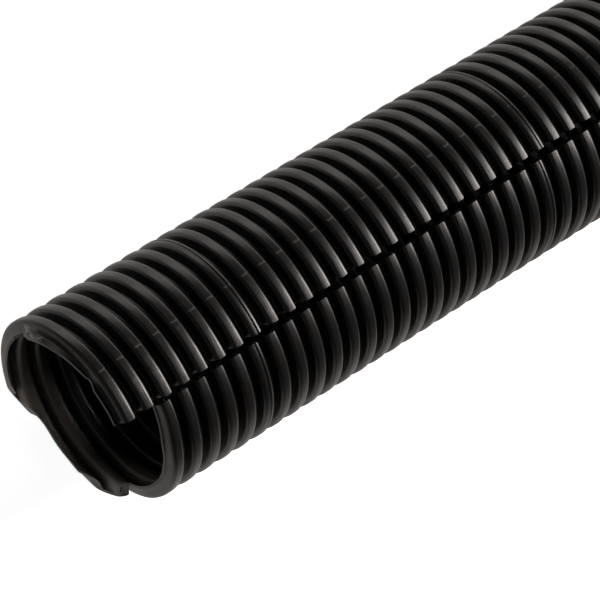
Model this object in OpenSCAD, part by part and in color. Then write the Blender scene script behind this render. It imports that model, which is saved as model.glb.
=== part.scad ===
// Slit corrugated cable conduit, a straight cut length of split loom.
// The tube lies along X on the plane Z = 0, with its slit turned a little from the top.
// Its axis is at the height of the crest radius, and X = 0 is half way along.

/* [Tube] */
// Length of the cut piece, along its longest side
stock_length = 1000; // [100:10:2000]
// Bore between the inner lands
bore_d = 36.3; // [20:0.1:60]
// Height of the corrugation, from an inner land to a crest
wave_height = 3.1; // [2.2:0.1:4]
// Thickness of the moulded wall
wall = 0.6; // [0.4:0.05:0.7]

/* [Ribs] */
// Distance from one rib to the next
pitch = 4.35; // [4:0.05:6]
// Width of a rib just below its rounded corners
crest_w = 2.3; // [2:0.1:2.6]
// Width of a rib at its root
root_w = 2.8; // [2.6:0.1:3.1]
// Bevel on a rib's outer corners
crest_bevel = 0.35; // [0.1:0.05:0.6]

/* [Marker ribs] */
// Ribs from one grooved marker rib to the next
marker_every = 17; // [5:1:40]
// Place of the first marker rib, counted from the cut end
marker_first = 8; // [2:1:16]
// Width of the groove along a marker rib's crest
marker_groove_w = 0.8; // [0.4:0.1:1]
// Depth of that groove
marker_groove_depth = 0.25; // [0.1:0.05:0.35]

/* [Slit] */
// Opening of the lengthwise slit at the crests
slit_gap = 1.2; // [0.3:0.1:8]
// Turn of the slit from the top towards -Y, as the tube lies
slit_turn = 12; // [-90:1:90]

/* [Cut end] */
// From the cut along a valley to the middle of the rib behind it
cut_to_rib = 2.2; // [1.6:0.05:2.8]
// Where the cut starts to cross the first rib, as an angle from the slit
first_crossing = 151; // [60:1:170]
// Where the cut starts to cross the second rib
second_crossing = 217; // [212:1:300]
// How far round the tube the cut takes to cross a rib
crossing_turn = 37; // [20:1:40]

/* [Hidden] */
$fn = 96;

bore_r = bore_d / 2;
crest_r = bore_r + wave_height;
root_r = bore_r + wall;
cavity_r = crest_r - wall;
cavity_crest_w = crest_w - 2 * wall;
cavity_root_w = root_w - 2 * wall;
slit_angle = 2 * asin(slit_gap / 2 / crest_r);
rib_count = ceil((stock_length - cut_to_rib) / pitch) + 1;
// Room that each cutter has past the surfaces it cuts
past = 5;
reach = crest_r + past;
graphite = [0.16, 0.16, 0.17];

function is_marker(rib) = rib % marker_every == marker_first % marker_every;

function groove() = [
    [crest_r, -marker_groove_w / 2],
    [crest_r - marker_groove_depth, -marker_groove_w / 2 + marker_groove_depth],
    [crest_r - marker_groove_depth, marker_groove_w / 2 - marker_groove_depth],
    [crest_r, marker_groove_w / 2]
];

// Outside of one rib, as [radius, place along the axis]
function rib_outside(rib) = concat(
    [
        [root_r, -root_w / 2],
        [crest_r - crest_bevel, -crest_w / 2],
        [crest_r, -crest_w / 2 + crest_bevel]
    ],
    is_marker(rib) ? groove() : [],
    [
        [crest_r, crest_w / 2 - crest_bevel],
        [crest_r - crest_bevel, crest_w / 2],
        [root_r, root_w / 2]
    ]
);

// Hollow under one rib, walked back towards the cut end
function rib_inside() = [
    [bore_r, cavity_root_w / 2],
    [cavity_r, cavity_crest_w / 2],
    [cavity_r, -cavity_crest_w / 2],
    [bore_r, -cavity_root_w / 2]
];

function rib_place(rib) = cut_to_rib + (rib - 1) * pitch;

function shifted(points, along) = [for (p = points) [p[0], p[1] + along]];

// Section of the wall, from the tip of the cut end to past the far end
module wall_section() {
    end = rib_place(rib_count) + pitch / 2;
    outside = [for (rib = [1 : rib_count]) each shifted(rib_outside(rib), rib_place(rib))];
    inside = [for (rib = [rib_count : -1 : 1]) each shifted(rib_inside(), rib_place(rib))];
    polygon(concat([[bore_r, 0], [root_r, 0]], outside, [[root_r, end], [bore_r, end]], inside));
}

// Corrugated wall about Z, open along the slit, which faces -X
module slit_wall() {
    rotate([0, 0, 180 + slit_angle / 2])
        rotate_extrude(angle = 360 - slit_angle) wall_section();
}

// Slice of a solid disc from an angle round to the slit, up to a height
module slice(from, height) {
    rotate([0, 0, 180])
        rotate_extrude(angle = 360 - from)
            translate([0, -past]) square([reach, height + past]);
}

// Removes the wall up to the next valley, with a slope where the cut crosses the rib before it
module step_remover(from, height) {
    middle = from + crossing_turn / 2;
    half_width = crest_r * sin(crossing_turn / 2);
    slope = pitch / 2 / half_width;
    intersection() {
        slice(from, height + pitch);
        rotate([0, 0, 180 - middle])
            rotate([90, 0, 90])
                linear_extrude(height = 2 * reach, center = true)
                    polygon([
                        [-reach, -2 * past],
                        [reach, -2 * past],
                        [reach, height + pitch / 2 - slope * reach],
                        [-reach, height + pitch / 2 + slope * reach]
                    ]);
    }
}

// Removes what lies before the hand-cut end, which steps back a rib at a time
module cut_end_remover() {
    step_remover(first_crossing, 0);
    step_remover(second_crossing, pitch);
}

module far_end_remover() {
    translate([-reach, -reach, stock_length])
        cube([2 * reach, 2 * reach, 2 * pitch + past]);
}

module conduit() {
    color(graphite)
        translate([-stock_length / 2, 0, crest_r])
            rotate([slit_turn, 0, 0])
                rotate([0, 90, 0])
                    difference() {
                        slit_wall();
                        cut_end_remover();
                        far_end_remover();
                    }
}

conduit();
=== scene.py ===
"""The looks of a slit corrugated conduit: its moulded wall, hand-cut end, plastic and light.

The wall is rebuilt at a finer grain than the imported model, with what the straight model leaves out:
rounded corners, the slip between the two lips of the slit, the wandering slit and the torn end.
Lengths are in metres unless a name or a comment says millimetres, and angles are in degrees.
"Around" is the angle from the slit towards +Y, and "along" is the distance from the tip of the cut end.
"""

import math

import bmesh
import bpy
import numpy as np
from mathutils import Matrix, Vector

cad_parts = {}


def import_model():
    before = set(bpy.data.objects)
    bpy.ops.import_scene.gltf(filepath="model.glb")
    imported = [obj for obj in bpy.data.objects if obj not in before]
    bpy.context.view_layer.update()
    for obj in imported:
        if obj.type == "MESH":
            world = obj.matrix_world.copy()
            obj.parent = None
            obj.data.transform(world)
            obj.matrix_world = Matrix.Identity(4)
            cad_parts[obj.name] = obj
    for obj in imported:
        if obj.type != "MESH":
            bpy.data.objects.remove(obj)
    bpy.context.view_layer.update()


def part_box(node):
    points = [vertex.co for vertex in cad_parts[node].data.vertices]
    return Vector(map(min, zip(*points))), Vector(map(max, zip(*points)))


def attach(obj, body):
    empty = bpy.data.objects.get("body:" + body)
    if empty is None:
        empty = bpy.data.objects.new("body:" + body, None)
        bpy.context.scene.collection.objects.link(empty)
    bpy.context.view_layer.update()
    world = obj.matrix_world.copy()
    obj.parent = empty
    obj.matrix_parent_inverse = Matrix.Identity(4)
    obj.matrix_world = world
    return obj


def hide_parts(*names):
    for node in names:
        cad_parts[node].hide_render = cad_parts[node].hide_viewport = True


MM = 0.001

# The moulded wall
PITCH = 4.35 * MM
WALL = 0.6 * MM
WAVE_HEIGHT = 3.1 * MM
CREST_WIDTH = 2.4 * MM
ROOT_WIDTH = 2.9 * MM
CREST_ROUND = 0.7 * MM
CREST_CROWN = 0.07 * MM
CROWN_ROUND = 7 * MM
ROOT_ROUND = 0.35 * MM
HOLLOW_ROUND = 0.2 * MM
OUT_OF_ROUND = 0.04 * MM
OUT_OF_ROUND_LENGTH = 40 * MM
PARTING_AT = 29.0

# The marker ribs, and the groove along the crest of each
MARKER_EVERY = 17
MARKER_FIRST = 8
GROOVE_WIDTH = 0.62 * MM
GROOVE_FLOOR_WIDTH = GROOVE_WIDTH * 2 / 7
GROOVE_DEPTH = 0.16 * MM
GROOVE_SHIFT = 0.15 * MM
GROOVE_ROUND = 0.08 * MM

# How the slit lies. It turns and opens over its first stretch, and both ease off further on.
SLIT_TURN = 12.0
WANDER_AT_CUT = -5.2
WANDER_TURN = 10.5
WANDER_LENGTH = 90 * MM
HALF_GAP_AT_CUT_MM = 0.22
HALF_GAP_GROWTH_MM = 0.74
HALF_GAP_LOSS_MM = 0.35
GAP_LENGTH = 40 * MM
EASES_OFF = (250 * MM, 600 * MM)
LIP_ROUND = 0.22 * MM
LIP_ROUND_FROM_MIDDLE = (0.55 * MM, 1.25 * MM)

# How far the rings have slid along the tube: the lips of the slit have slid past each other,
# and away from the slit the first rings sag out towards the cut end
SLIP = 2.01 * MM
SLIP_LENGTH = 18 * MM
EVEN_SLIP_SHARE = 0.8
UNEVEN_SLIP_POWER = 6
LIP_LEAD = 1.39 * MM
END_SAG = 1.0 * MM
SAG_STARTS = (0.0, 120.0)
SAG_ENDS = (328.0, 360.0)
SAG_LENGTH = 16 * MM

# The hand-cut end follows a valley, steps back a rib at a time and is torn in one place.
# Each stretch is the angles that it lies between and how far it runs along the tube, in millimetres.
CUT_START_MM = -0.15
KINK_UP = (22.0, 29.0, 0.62)
KINK_BACK = (30.0, 32.0, -0.22)
TEAR = (31.0, 66.0, -0.95)
TEAR_END = (80.0, 94.0, 1.16)
FIRST_STEP = (152.0, 193.0, 3.69)
SECOND_STEP = (226.0, 256.0, 3.6)
NOTCH = (256.0, 257.5, 1.5)

# Small waves in the cut: the height in millimetres, the number round the tube and the shift of each
NICKS = ((0.04, 7, 20), (0.03, 17, 0))
FRAY = ((0.16, 43, 0), (0.10, 97, 0))
FRAY_STARTS = (78.0, 86.0)
FRAY_ENDS = (104.0, 110.0)

# From the tip of the cut end to the middle of the first rib
TIP_TO_RIB = 2.2 * MM

# The angles at which the torn patch and the painted light on the inside bottom have their middles
TORN_PATCH_AT = 81.0
PAINTED_LIGHT_INSIDE_AT = 205.0

# The tooth that the second step leaves leans back from the cut end, and the ring behind it comes forward
TOOTH = (250.0, 256.0)
TOOTH_LEAN = 0.6 * MM
TOOTH_ENDS = (8.2 * MM, 9.2 * MM)
TUCK_STARTS = (225.0, 250.0)
TUCK_ENDS = (265.0, 300.0)
RING_TUCK = 0.45 * MM
TUCK_LAST = (11 * MM, 15 * MM)

# The mesh. The ribs that the camera sees are fine and the rest plain: first rib, last rib, columns.
FINE_RIBS = ((0, 4, 360), (5, 14, 144), (15, 24, 120), (25, 36, 108))
FINE_ARC, FINE_FILL = 3, 1
PLAIN_PARTS = 3
PLAIN_COLUMNS = 45
PLAIN_ARC, PLAIN_FILL = 1, 0
SHARP_FROM = 50.0
MERGE_WITHIN = 0.0002 * MM

# The camera: a long lens, aimed a short way in from the cut end
LENS_MM = 173.7
SENSOR_MM = 36.0
DISTANCE = 563.0 * MM
AIM_ALONG = 56.0 * MM
AIM_SHIFT = -3.29 * MM
SIGHT_TO_AXIS = 62.57
AXIS_RISE = 31.58

# The plastic
MARKS = ("around", "along", "height", "outside", "from_cut")
MM_PER_DEGREE = 0.37
INSIDE_SHIFT = 50.0
STREAK_STRETCH = (3.2, 0.2, 1.0)
MOULDED = (0.0078, 0.0072, 0.0069, 1)
RUBBED = (0.060, 0.056, 0.053, 1)
BARE_INSIDE = (0.008, 0.0075, 0.007, 1)
# A pale colour for painted light on the inside bottom by the cut end
INSIDE_PAINTED_LIGHT = (0.26, 0.235, 0.215, 1)
TORN = (0.50, 0.48, 0.46, 1)

# The floor, and how the white that the plastic mirrors dims from one place to another:
# the two places, then the light at each
FLOOR_SIZE = 8.0
PAPER_GLOW = 0.92
MIRRORED_ACROSS = (-0.14, -0.05, 0.07, 0.68)
MIRRORED_ALONG = (-0.56, -0.49, 0.3, 1.0)

# The lamps: how far each is from the aim along the axis, across it and up, its size and its power
LAMPS = {
    "far_light": ((1.2, 0.264, 0.855), (0.6, 1.0), 29.0),
    "side_card": ((0.6, -1.2, 0.24), (2.4, 0.6), 7.4),
    "low_card": ((1.4, 0.45, 0.12), (0.7, 0.2), 0.6),
    "front_fill": ((-1.0, 0.0, 0.4), (2.2, 0.25), 0.6),
}
WARM = (1.0, 0.94, 0.90)
AMBIENT = 0.03


def arc(before, corner, after, radius, steps):
    """The points of a rounded corner. One that doesn't turn has them spread over its radius."""
    back = (before - corner) / np.linalg.norm(before - corner)
    forth = (after - corner) / np.linalg.norm(after - corner)
    half = math.acos(np.clip(np.dot(back, forth), -1, 1)) / 2
    shares = np.linspace(0, 1, steps + 1)[:, None]
    if math.pi / 2 - half < 1e-6:
        return corner + radius * (back * (1 - shares) + forth * shares)
    reach = radius / math.tan(half)
    centre = corner + (back + forth) / np.linalg.norm(back + forth) * radius / math.sin(half)
    start = corner + back * reach - centre
    end = corner + forth * reach - centre
    turn = math.pi - 2 * half
    return centre + (np.sin((1 - shares) * turn) * start + np.sin(shares * turn) * end) / math.sin(turn)


def rounded(points, radii, steps, fill):
    """A line whose inner corners are arcs, with fill points on each straight stretch between."""
    points = [np.array(p) for p in points]
    corners = zip(points, points[1:], points[2:], radii)
    arcs = [points[:1], *(arc(*corner, steps) for corner in corners), points[-1:]]
    shares = np.linspace(0, 1, fill + 2)[1:-1, None]
    line = []
    for one, other in zip(arcs, arcs[1:]):
        line += [np.array(one), one[-1] * (1 - shares) + other[0] * shares]
    return np.vstack([*line, arcs[-1]])


def groove_places(depth):
    """The corners of a marker rib's groove, as (along, depth) about the rib's middle."""
    outer, inner = GROOVE_WIDTH / 2, GROOVE_FLOOR_WIDTH / 2
    corners = [(-outer, 0), (-inner, depth), (inner, depth), (outer, 0)]
    return [(along + GROOVE_SHIFT, level) for along, level in corners]


def rib_line(crest, root, half_crest, half_root, radii, groove_depth, steps, fill):
    """One rib's line from mid valley to mid valley, as (along, radius) about the rib's middle."""
    shoulder = crest - CREST_CROWN
    points = [(-PITCH / 2, root), (-half_root, root), (-half_crest, shoulder)]
    rounds = [radii[0], radii[1]]
    if groove_depth is None:
        points.append((0, crest))
        rounds.append(CROWN_ROUND)
    else:
        places = groove_places(groove_depth)
        points += [(along, crest - depth) for along, depth in places]
        rounds += [GROOVE_ROUND] * len(places)
    points += [(half_crest, shoulder), (half_root, root), (PITCH / 2, root)]
    return rounded(points, [*rounds, radii[1], radii[0]], steps, fill)


def ramp(value, start, end):
    """0 before start, 1 after end, and even between."""
    return np.clip((value - start) / (end - start), 0, 1)


def smooth(value, start, end):
    """0 before start, 1 after end, and an even S between."""
    share = ramp(value, start, end)
    return share * share * (3 - 2 * share)


def between(value, starts, ends):
    """0 before the starts, 1 between the two and 0 after the ends."""
    return smooth(value, *starts) * (1 - smooth(value, *ends))


def settling(along, length):
    """0 at the cut end, and close to 1 a few lengths along."""
    return 1 - np.exp(-np.maximum(along, 0) / length)


def waves(around, *parts):
    """A sum of waves, each with its height, its number round the tube and its shift."""
    return sum(height * np.sin(np.radians(around * count + shift)) for height, count, shift in parts)


def cut_line(around):
    """How far along the hand cut runs at each angle, before the rings slip."""
    line = CUT_START_MM + waves(around, *NICKS)
    for start, end, run in (FIRST_STEP, NOTCH, KINK_UP, KINK_BACK, TEAR_END):
        line = line + run * smooth(around, start, end)
    for start, end, run in (SECOND_STEP, TEAR):
        line = line + run * ramp(around, start, end)
    return (line + between(around, FRAY_STARTS, FRAY_ENDS) * waves(around, *FRAY)) * MM


def wander(along):
    """The angle by which the slit strays: to one side at the cut end, then the other, and none far off."""
    near = WANDER_AT_CUT + WANDER_TURN * settling(along, WANDER_LENGTH)
    return near * (1 - smooth(along, *EASES_OFF))


def half_gap_at(along, from_middle):
    """Half the slit's opening: nearly shut at the cut end, wider beyond, with the ribs' corners round."""
    even = HALF_GAP_AT_CUT_MM + HALF_GAP_GROWTH_MM * settling(along, GAP_LENGTH)
    even = even - HALF_GAP_LOSS_MM * smooth(along, *EASES_OFF)
    return even * MM + LIP_ROUND * smooth(np.abs(from_middle), *LIP_ROUND_FROM_MIDDLE)


def slid(around):
    """The share of the slip that a place round the tube has. It grows faster near the second lip."""
    share = around / 360
    return EVEN_SLIP_SHARE * share + (1 - EVEN_SLIP_SHARE) * share**UNEVEN_SLIP_POWER


def lead(along, around):
    """How far the rings have slid from the cut end: most at the slit's first lip, least at its second."""
    slip = SLIP * settling(along, SLIP_LENGTH)
    sag = between(around, SAG_STARTS, SAG_ENDS) * np.exp(-((along / SAG_LENGTH) ** 2))
    lean = smooth(around, *TOOTH) * (1 - smooth(along, *TOOTH_ENDS))
    tuck = between(around, TUCK_STARTS, TUCK_ENDS) * between(along, TOOTH_ENDS, TUCK_LAST)
    return LIP_LEAD - slip * slid(around) - sag * END_SAG + lean * TOOTH_LEAN - tuck * RING_TUCK


def wall_rows(first, last, crest, root, steps, fill):
    """The wall's outside and inside lines over ribs first to last, point for point."""
    half_crest, half_root = CREST_WIDTH / 2, ROOT_WIDTH / 2
    outer_rounds = (ROOT_ROUND, CREST_ROUND)
    inner_rounds = (ROOT_ROUND + WALL, HOLLOW_ROUND)
    outside, inside = [], []
    for rib in range(first, last + 1):
        marker = rib % MARKER_EVERY == MARKER_FIRST
        middle = np.array([TIP_TO_RIB + (rib - 1) * PITCH, 0])
        skip = 0 if rib == first else 1
        groove, level = (GROOVE_DEPTH, 0) if marker else (None, None)
        widths = half_crest - WALL, half_root - WALL
        crest_line = rib_line(crest, root, half_crest, half_root, outer_rounds, groove, steps, fill)
        hollow_line = rib_line(crest - WALL, root - WALL, *widths, inner_rounds, level, steps, fill)
        outside.append((crest_line + middle)[skip:])
        inside.append((hollow_line + middle)[skip:])
    return np.vstack(outside), np.vstack(inside)


def wall_points(line, around, tip, axis_height, crest, length, is_outside):
    """Places one side of the wall in space: rows along the tube, columns round it."""
    near = cut_line(around)[None, :]
    far = length - (LIP_LEAD - SLIP * slid(around[None, :]))
    along = np.clip(line[:, 0][:, None], near, far)
    radius = np.interp(along, line[:, 0], line[:, 1])
    from_middle = (along - TIP_TO_RIB + PITCH / 2) % PITCH - PITCH / 2
    half_gap = np.degrees(half_gap_at(along, from_middle) / crest)
    turn = half_gap + (360 - 2 * half_gap) * around[None, :] / 360
    turn = np.radians(turn + wander(along) - SLIT_TURN)
    radius = radius + OUT_OF_ROUND * np.sin(2 * turn + along / OUT_OF_ROUND_LENGTH)
    x = tip + along + lead(along, around[None, :])
    places = np.stack([x, radius * np.sin(turn), axis_height + radius * np.cos(turn)], axis=-1)
    marks = {
        "around": np.broadcast_to(around[None, :], along.shape),
        "along": along / MM,
        "height": (radius - radius.min()) / (radius.max() - radius.min()),
        "outside": np.full(along.shape, float(is_outside)),
        "from_cut": (along - near) / MM,
    }
    return places, marks


def grid_faces(rows, columns, start, flip):
    """Quads over a grid of points that starts at the given point number."""
    row, column = np.meshgrid(np.arange(rows - 1), np.arange(columns - 1), indexing="ij")
    corner = start + row * columns + column
    quads = np.stack([corner, corner + 1, corner + columns + 1, corner + columns], axis=-1)
    quads = quads.reshape(-1, 4)
    return quads[:, ::-1] if flip else quads


def strip_faces(one, other, flip):
    """Quads between two lines of points."""
    quads = np.stack([one[:-1], one[1:], other[1:], other[:-1]], axis=-1)
    return quads[:, ::-1] if flip else quads


def mesh_object(name, places, faces, marks):
    """A smooth mesh of quads, with its marks as point attributes."""
    mesh = bpy.data.meshes.new(name)
    mesh.vertices.add(len(places))
    mesh.vertices.foreach_set("co", places.astype(np.float32).ravel())
    mesh.loops.add(faces.size)
    mesh.loops.foreach_set("vertex_index", faces.astype(np.int32).ravel())
    mesh.polygons.add(len(faces))
    mesh.polygons.foreach_set("loop_start", np.arange(0, faces.size, 4, dtype=np.int32))
    for mark, values in marks.items():
        mesh.attributes.new(mark, "FLOAT", "POINT").data.foreach_set("value", values)
    mesh.update(calc_edges=True)
    mesh.shade_smooth()
    thing = bpy.data.objects.new(name, mesh)
    bpy.context.scene.collection.objects.link(thing)
    return thing


def merge_collapsed(thing):
    """Joins the points that a cut has brought together, and drops the faces between them."""
    shape = bmesh.new()
    shape.from_mesh(thing.data)
    bmesh.ops.remove_doubles(shape, verts=shape.verts, dist=MERGE_WITHIN)
    loose = [v for v in shape.verts if not v.link_faces]
    bmesh.ops.delete(shape, geom=loose, context="VERTS")
    shape.to_mesh(thing.data)
    shape.free()


def tube_section(name, first, last, columns, steps, fill, tube):
    """Ribs first to last of the tube, as one piece of mesh."""
    low, high = tube["box"]
    length = high.x - low.x
    crest = (high.z - low.z) / 2
    root = crest - WAVE_HEIGHT + WALL
    outside, inside = wall_rows(first, last, crest, root, steps, fill)
    around = np.linspace(0, 360, columns + 1)
    place = (around, low.x, low.z + crest, crest, length)
    outer_places, outer_marks = wall_points(outside, *place, True)
    inner_places, inner_marks = wall_points(inside, *place, False)
    rows, width = outer_places.shape[:2]
    count = rows * width
    numbers = np.arange(count).reshape(rows, width)
    faces = [
        grid_faces(rows, width, 0, True),
        grid_faces(rows, width, count, False),
        strip_faces(numbers[:, 0], numbers[:, 0] + count, False),
        strip_faces(numbers[:, -1], numbers[:, -1] + count, True),
    ]
    if first == 0:
        faces.append(strip_faces(numbers[0], numbers[0] + count, True))
    if last == tube["ribs"]:
        faces.append(strip_faces(numbers[-1], numbers[-1] + count, False))
    places = np.concatenate([outer_places.reshape(-1, 3), inner_places.reshape(-1, 3)])
    marks = {
        mark: np.concatenate([outer_marks[mark].ravel(), inner_marks[mark].ravel()]).astype(np.float32)
        for mark in outer_marks
    }
    thing = mesh_object(name, places, np.concatenate(faces), marks)
    if first == 0 or last == tube["ribs"]:
        merge_collapsed(thing)
    thing.data.set_sharp_from_angle(angle=math.radians(SHARP_FROM))
    return thing


class Nodes:
    """The empty node tree of a new material, with short names for what goes into it."""

    def __init__(self, name):
        self.material = bpy.data.materials.new(name)
        self.material.use_nodes = True
        self.tree = self.material.node_tree
        self.tree.nodes.clear()

    def add(self, kind, inputs, **properties):
        """A node, with each input set to a value or linked to a socket."""
        node = self.tree.nodes.new(kind)
        for key, value in properties.items():
            setattr(node, key, value)
        for key, value in inputs.items():
            if isinstance(value, bpy.types.NodeSocket):
                self.tree.links.new(value, node.inputs[key])
            else:
                node.inputs[key].default_value = value
        return node

    def calculate(self, operation, one, two=0.0, clamp=False):
        properties = {"operation": operation, "use_clamp": clamp}
        return self.add("ShaderNodeMath", {0: one, 1: two}, **properties).outputs[0]

    def times(self, first, *others):
        for other in others:
            first = self.calculate("MULTIPLY", first, other)
        return first

    def plus(self, first, *others, clamp=False):
        for other in others:
            first = self.calculate("ADD", first, other, clamp)
        return first

    def away_from(self, value, middle):
        """How far a value is from a middle one, on either side."""
        return self.calculate("ABSOLUTE", self.calculate("SUBTRACT", value, middle))

    def ramp(self, value, start, end, low=0.0, high=1.0):
        """low at start and before, high at end and after, and even between."""
        inputs = {"Value": value, 1: start, 2: end, 3: low, 4: high}
        return self.add("ShaderNodeMapRange", inputs).outputs[0]

    def blend(self, share, low, high):
        """low where share is 0 and high where it is 1."""
        return self.ramp(share, 0.0, 1.0, low, high)

    def attribute(self, name):
        return self.add("ShaderNodeAttribute", {}, attribute_name=name).outputs["Fac"]

    def noise(self, place, scale, detail):
        inputs = {"Vector": place, "Scale": scale, "Detail": detail}
        return self.add("ShaderNodeTexNoise", inputs).outputs["Fac"]

    def colour(self, share, low, high):
        """The low colour where share is 0 and the high one where it is 1."""
        return self.add("ShaderNodeMix", {0: share, 6: low, 7: high}, data_type="RGBA").outputs[2]

    def shaders(self, share, one, other):
        """One shader where share is 0 and the other where it is 1."""
        return self.add("ShaderNodeMixShader", {0: share, 1: one, 2: other}).outputs[0]

    def finished(self, shader):
        """The material, with this shader as its surface."""
        self.add("ShaderNodeOutputMaterial", {"Surface": shader})
        return self.material


def scuffed(nodes, marks, place, crest):
    """Rubbed patches on the crests, by the slit and near the cut end."""
    patches = nodes.ramp(nodes.noise(place, 0.55, 5.0), 0.55, 0.72)
    near_slit = nodes.ramp(marks["around"], 50.0, 12.0)
    near_end = nodes.ramp(marks["along"], 60.0, 5.0)
    return nodes.times(patches, near_slit, crest, near_end)


def shredded(nodes, marks, place):
    """Pale shreds at the torn place of the cut, from the valley half way up the rib."""
    patch = nodes.ramp(nodes.away_from(marks["around"], TORN_PATCH_AT), 12.0, 7.0)
    shreds = nodes.ramp(nodes.noise(place, 1.6, 4.0), 0.42, 0.58)
    by_the_cut = nodes.ramp(marks["from_cut"], 1.5, 0.9)
    low_on_rib = nodes.ramp(marks["height"], 0.75, 0.5)
    return nodes.times(patch, shreds, by_the_cut, low_on_rib)


def painted_inside_light(nodes, marks):
    """Painted light on the inside bottom of the wall by the cut, fading deeper into the tube: light that
    reaches in at the open end, painted into the colour.
    """
    low_down = nodes.ramp(nodes.away_from(marks["around"], PAINTED_LIGHT_INSIDE_AT), 80.0, 35.0)
    return nodes.times(low_down, nodes.ramp(marks["from_cut"], 9.0, 0.0))


def black_plastic():
    """Black polyolefin: satin, with streaks round the tube, a parting line, scuffs, a torn rim and painted
    light on the inside bottom by the cut end.
    """
    nodes = Nodes("black_plastic")
    marks = {name: nodes.attribute(name) for name in MARKS}
    outside = marks["outside"]

    # Millimetres along and round the wall, with the inside's patterns far from the outside's
    round_wall = nodes.times(marks["around"], MM_PER_DEGREE)
    spread = {"X": marks["along"], "Y": round_wall, "Z": nodes.times(outside, INSIDE_SHIFT)}
    place = nodes.add("ShaderNodeCombineXYZ", spread).outputs[0]
    stretch = {0: place, 1: STREAK_STRETCH}
    drawn = nodes.add("ShaderNodeVectorMath", stretch, operation="MULTIPLY").outputs[0]
    streaks = nodes.noise(drawn, 1.0, 4.0)
    cloud = nodes.noise(place, 0.12, 3.0)
    grain = nodes.noise(place, 6.0, 2.0)

    crest = nodes.times(nodes.ramp(marks["height"], 0.93, 0.985), outside)
    off_line = nodes.away_from(marks["around"], PARTING_AT)
    parting = nodes.times(nodes.ramp(off_line, 0.7, 0.15), crest)
    scuffs = scuffed(nodes, marks, place, crest)
    edge = nodes.ramp(marks["from_cut"], 0.3, 0.0)
    torn = shredded(nodes, marks, place)

    pale = nodes.plus(nodes.times(parting, 0.5), nodes.times(scuffs, 0.5), nodes.times(edge, 0.55))
    worn = nodes.colour(pale, MOULDED, RUBBED)
    # The inside's own colour, with painted light on its bottom near the cut end
    inside_with_painted_light = nodes.colour(painted_inside_light(nodes, marks), BARE_INSIDE, INSIDE_PAINTED_LIGHT)
    base = nodes.colour(torn, nodes.colour(outside, inside_with_painted_light, worn), TORN)

    rough = nodes.plus(nodes.blend(streaks, 0.20, 0.42), nodes.times(cloud, 0.06))
    rough = nodes.plus(rough, nodes.times(pale, 0.2), clamp=True)
    rough = nodes.blend(outside, 0.45, rough)

    relief = nodes.plus(
        nodes.times(streaks, 0.9),
        nodes.times(grain, 0.25),
        nodes.times(parting, 1.2),
        nodes.times(scuffs, 0.6),
        nodes.times(torn, 3.0),
    )
    bump = nodes.add("ShaderNodeBump", {"Strength": 0.5, "Distance": 0.05 * MM, "Height": relief})
    looks = {"Base Color": base, "Roughness": rough, "Normal": bump.outputs[0], "IOR": 1.5}
    return nodes.finished(nodes.add("ShaderNodeBsdfPrincipled", looks).outputs[0])


def white_floor():
    """The pale ground: white in the picture, and in the plastic a white that dims to a side and in front."""
    nodes = Nodes("white_floor")
    place = nodes.add("ShaderNodeTexCoord", {}).outputs["Object"]
    shade = nodes.blend(nodes.noise(place, 3.0, 2.0), 0.90, 0.94)
    grey = nodes.add("ShaderNodeCombineColor", {"Red": shade, "Green": shade, "Blue": shade}).outputs[0]
    paper = nodes.add("ShaderNodeBsdfPrincipled", {"Base Color": grey, "Roughness": 0.6}).outputs[0]
    glow = nodes.add("ShaderNodeEmission", {"Strength": PAPER_GLOW}).outputs[0]
    lit = nodes.add("ShaderNodeAddShader", {0: paper, 1: glow}).outputs[0]
    sides = nodes.add("ShaderNodeSeparateXYZ", {"Vector": place}).outputs
    across = nodes.ramp(sides["Y"], *MIRRORED_ACROSS)
    strength = nodes.times(across, nodes.ramp(sides["X"], *MIRRORED_ALONG))
    mirrored = nodes.add("ShaderNodeEmission", {"Color": (*WARM, 1), "Strength": strength}).outputs[0]
    path = nodes.add("ShaderNodeLightPath", {}).outputs
    unseen = nodes.shaders(path["Is Glossy Ray"], paper, mirrored)
    return nodes.finished(nodes.shaders(path["Is Camera Ray"], unseen, lit))


def tube_axes():
    """The tube's axis, the way across it towards the foot of the picture, and the way up."""
    return Vector((1, 0, 0)), Vector((0, -1, 0)), Vector((0, 0, 1))


def aim_point(tube):
    """The point on the tube's axis that the camera and the lamps are set about."""
    low, high = tube["box"]
    return Vector((low.x + AIM_ALONG, 0, (low.z + high.z) / 2))


def photo_camera(tube):
    """The long lens, placed by how the tube's axis lies to the line of sight and rises in the picture."""
    axis, across, up = tube_axes()
    sight = math.radians(SIGHT_TO_AXIS)
    rise = math.radians(AXIS_RISE)
    forward = axis * math.cos(sight) - up * math.sin(sight)
    level = axis * math.sin(sight) + up * math.cos(sight)
    right = level * math.cos(rise) + across * math.sin(rise)
    down = across * math.cos(rise) - level * math.sin(rise)
    aim = aim_point(tube) - across * AIM_SHIFT
    data = bpy.data.cameras.new("camera")
    data.lens = LENS_MM
    data.sensor_width = SENSOR_MM
    data.clip_start = 0.01
    data.clip_end = 20
    camera = bpy.data.objects.new("camera", data)
    turn = Matrix((right, -down, -forward)).transposed().to_4x4()
    camera.matrix_world = Matrix.Translation(aim - forward * DISTANCE) @ turn
    bpy.context.scene.collection.objects.link(camera)
    bpy.context.scene.camera = camera


def lamp(name, place, aim, size, power):
    """A warm rectangular lamp that faces the aim."""
    data = bpy.data.lights.new(name, "AREA")
    data.shape = "RECTANGLE"
    data.size, data.size_y = size
    data.energy = power
    data.color = WARM
    light = bpy.data.objects.new(name, data)
    light.location = place
    light.rotation_euler = (aim - place).to_track_quat("-Z", "Y").to_euler()
    bpy.context.scene.collection.objects.link(light)


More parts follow.
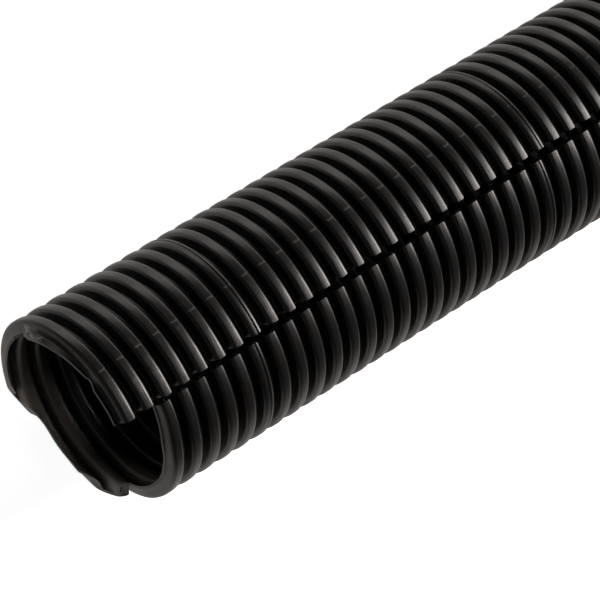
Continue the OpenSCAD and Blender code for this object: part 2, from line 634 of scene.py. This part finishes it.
def white_world():
    """White to the camera, and a faint even light to everything else."""
    world = bpy.data.worlds.new("studio")
    world.use_nodes = True
    tree = world.node_tree
    tree.nodes.clear()
    path = tree.nodes.new("ShaderNodeLightPath")
    seen = tree.nodes.new("ShaderNodeBackground")
    seen.inputs["Color"].default_value = (1, 1, 1, 1)
    lit = tree.nodes.new("ShaderNodeBackground")
    lit.inputs["Color"].default_value = (1, 1, 1, 1)
    lit.inputs["Strength"].default_value = AMBIENT
    mix = tree.nodes.new("ShaderNodeMixShader")
    out = tree.nodes.new("ShaderNodeOutputWorld")
    tree.links.new(path.outputs["Is Camera Ray"], mix.inputs[0])
    tree.links.new(lit.outputs[0], mix.inputs[1])
    tree.links.new(seen.outputs[0], mix.inputs[2])
    tree.links.new(mix.outputs[0], out.inputs["Surface"])
    bpy.context.scene.world = world


def studio(tube):
    """The floor, and the lamps: a main one over the far end and weaker ones at a side, low and in front."""
    bpy.ops.mesh.primitive_plane_add(size=FLOOR_SIZE, location=(0, 0, tube["box"][0].z))
    floor = bpy.context.object
    floor.name = "floor"
    floor.data.materials.append(white_floor())
    aim = aim_point(tube)
    axis, across, up = tube_axes()
    for name, ((beyond, aside, above), size, power) in LAMPS.items():
        lamp(name, aim + axis * beyond + across * aside + up * above, aim, size, power)
    white_world()


def mesh_sections(ribs):
    """Each section of the tube: its first and last rib, columns, arc steps and fill points."""
    sections = [(*section, FINE_ARC, FINE_FILL) for section in FINE_RIBS]
    fine = FINE_RIBS[-1][1]
    breaks = [fine + round((ribs - fine) * part / PLAIN_PARTS) for part in range(PLAIN_PARTS + 1)]
    plain = zip(breaks, breaks[1:])
    return sections + [(start + 1, end, PLAIN_COLUMNS, PLAIN_ARC, PLAIN_FILL) for start, end in plain]


def build():
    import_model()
    low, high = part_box("conduit")
    ribs = math.ceil((high.x - low.x - TIP_TO_RIB) / PITCH) + 1
    tube = {"box": (low, high), "ribs": ribs}
    plastic = black_plastic()
    for number, section in enumerate(mesh_sections(ribs), 1):
        piece = tube_section(f"conduit_{number}", *section, tube)
        piece.data.materials.append(plastic)
        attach(piece, "root")
        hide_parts("conduit")
    studio(tube)
    photo_camera(tube)
    bpy.context.scene.view_settings.view_transform = "Standard"


build()
